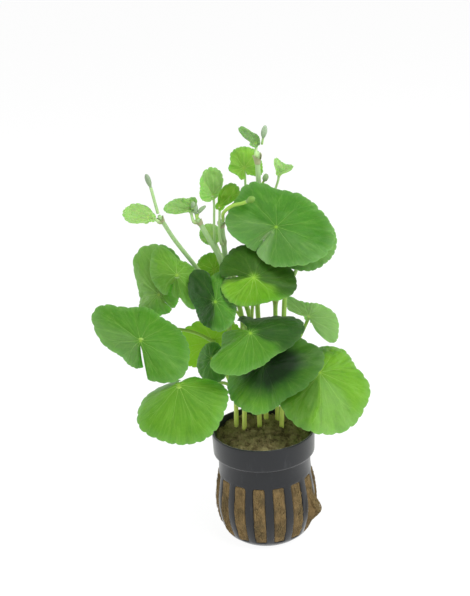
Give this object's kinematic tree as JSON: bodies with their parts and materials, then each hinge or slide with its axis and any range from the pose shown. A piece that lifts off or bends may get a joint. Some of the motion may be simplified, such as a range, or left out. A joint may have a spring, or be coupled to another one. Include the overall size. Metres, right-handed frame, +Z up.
{
  "type": "brazilian pennywort in a net pot",
  "caption": "Bushy pond plant with round notched leaves on long petioles, rooted in mineral wool in a slotted net pot that stands on its base.",
  "frame": {"origin": "centre of the pot's flat underside", "axes": "+Z up from the underside through the pot, -Y towards the side that the plant shows, +X to the right seen from there"},
  "size_m": [0.1219, 0.1029, 0.1972],
  "materials": {
    "pot_plastic": "charcoal moulded plastic, satin",
    "rockwool": "tan to dark brown fibrous mineral wool, matt",
    "leaf_green": "waxy mid-green leaf with pale radiating veins",
    "young_green": "soft yellow-green young leaf",
    "stem_green": "smooth pale green stem",
    "bud_green": "matt grey-green bud"
  },
  "bodies": {
    "root": {"pot": "pot_plastic", "rockwool": "rockwool", "stem_left": "stem_green", "stem_middle_left": "stem_green", "stem_middle": "stem_green", "stem_top": "stem_green", "stem_right_back": "stem_green", "stem_right": "stem_green", "leaf_top": "leaf_green", "leaf_behind_top": "leaf_green", "leaf_upper_front": "leaf_green", "leaf_front": "leaf_green", "leaf_low_front": "leaf_green", "leaf_low_right": "leaf_green", "leaf_far_right": "leaf_green", "leaf_big_left": "leaf_green", "leaf_low_left": "leaf_green", "leaf_small_dark": "leaf_green", "leaf_folded_left": "leaf_green", "leaf_upper_left": "leaf_green", "leaf_outer_left": "leaf_green", "leaf_back_upper": "leaf_green", "leaf_back_low": "leaf_green", "leaf_back_right": "leaf_green", "leaf_back_left": "leaf_green", "leaf_lit_behind": "young_green", "leaf_crown": "young_green", "leaf_young_tall": "young_green", "leaf_young_bright": "young_green", "leaf_shoot": "young_green", "leaf_far_left": "young_green", "leaf_fan": "young_green", "leaf_small_behind": "young_green", "leaf_pale_behind": "young_green", "leaf_tip": "young_green", "bud_left": "bud_green", "bud_middle": "bud_green", "bud_top": "bud_green", "bud_small": "bud_green"}
  },
  "joints": []
}
